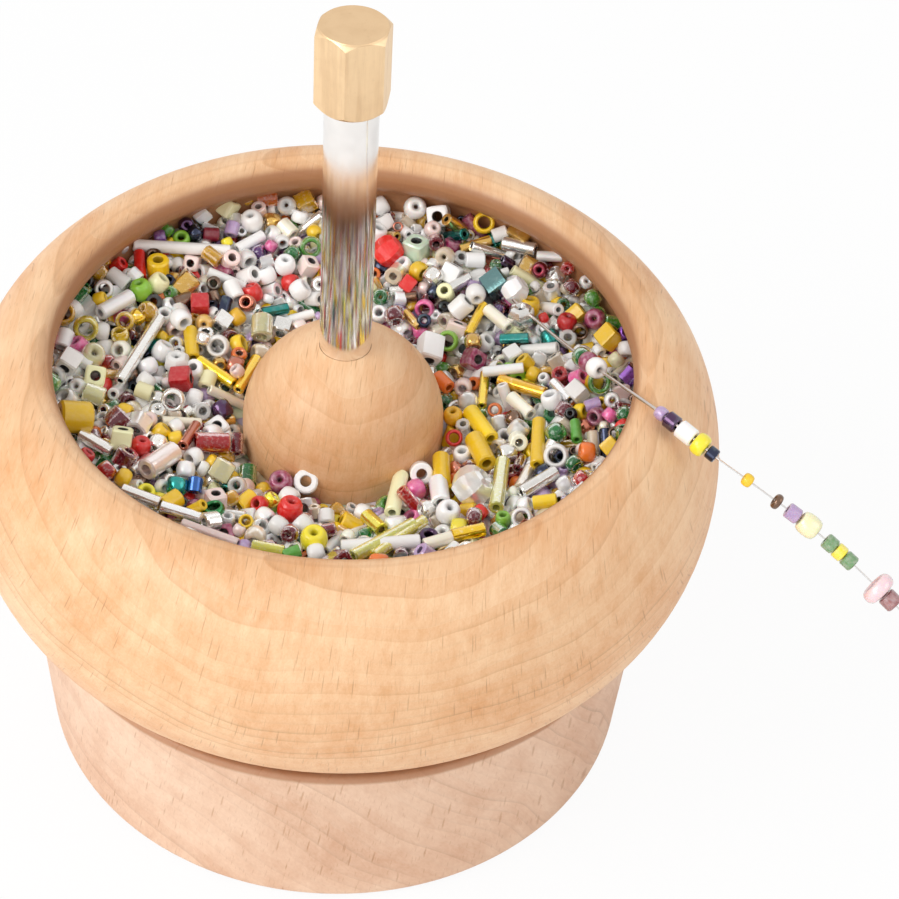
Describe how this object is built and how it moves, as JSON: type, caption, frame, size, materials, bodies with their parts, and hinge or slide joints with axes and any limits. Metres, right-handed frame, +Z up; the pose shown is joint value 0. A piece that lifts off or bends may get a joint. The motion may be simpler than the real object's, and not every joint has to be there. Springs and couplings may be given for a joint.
{
  "type": "bead spinner",
  "caption": "Turned beech bowl with a central dome on a steel spindle that spins in a beech base, filled with small beads, with a curved needle and threaded beads.",
  "frame": {"origin": "centre of the base's underside, on the spindle's axis", "axes": "+Z up along the spindle; the strung needle lies over the rim towards +X"},
  "size_m": [0.1471, 0.12, 0.1346],
  "materials": {
    "bowl_wood": "satin waxed beech",
    "base_wood": "satin waxed beech",
    "glass_beads": "mixed small beads",
    "polished_steel": "mirror polished",
    "brass": "satin, fine brushed",
    "washer_steel": "zinc plated",
    "screw_steel": "zinc plated",
    "bearing_steel": "ground",
    "cage_steel": "pressed sheet",
    "shield_steel": "pressed sheet",
    "needle_steel": "drawn wire",
    "strung_beads": "mixed small beads",
    "thread": "clear nylon"
  },
  "bodies": {
    "base": {"base_block": "base_wood", "upper_outer_ring": "bearing_steel", "upper_shields": "shield_steel", "lower_outer_ring": "bearing_steel", "lower_shields": "shield_steel"},
    "spinner": {"bowl": "bowl_wood", "bead_load": "glass_beads", "spindle_rod": "polished_steel", "hex_cap": "brass", "spacer_ring": "washer_steel", "inner_sleeve": "washer_steel", "retaining_washer": "washer_steel", "retaining_screw": "screw_steel", "upper_inner_ring": "bearing_steel", "lower_inner_ring": "bearing_steel", "bugle_beads": "glass_beads", "tube_beads": "glass_beads", "seed_beads": "glass_beads", "ring_beads": "glass_beads", "round_beads": "glass_beads", "cube_beads": "glass_beads", "hex_beads": "glass_beads", "needle": "needle_steel", "needle_beads": "strung_beads", "thread": "thread", "thread_beads": "strung_beads", "thread_knot": "thread"},
    "upper_ball_train": {"upper_balls": "bearing_steel", "upper_cage": "cage_steel"},
    "lower_ball_train": {"lower_balls": "bearing_steel", "lower_cage": "cage_steel"}
  },
  "joints": [
    {"name": "bowl_spin", "type": "hinge", "parent": "base", "child": "spinner", "pos_m": [0, 0, 0.0328], "axis": [0, 0, 1], "continuous": true},
    {"name": "upper_train_orbit", "type": "hinge", "parent": "base", "child": "upper_ball_train", "pos_m": [0, 0, 0.0288], "axis": [0, 0, 1], "continuous": true},
    {"name": "lower_train_orbit", "type": "hinge", "parent": "base", "child": "lower_ball_train", "pos_m": [0, 0, 0.0095], "axis": [0, 0, 1], "continuous": true}
  ],
  "couplings": [
    {"joint": "upper_train_orbit", "follows": "bowl_spin", "ratio": 0.368},
    {"joint": "lower_train_orbit", "follows": "bowl_spin", "ratio": 0.368}
  ]
}
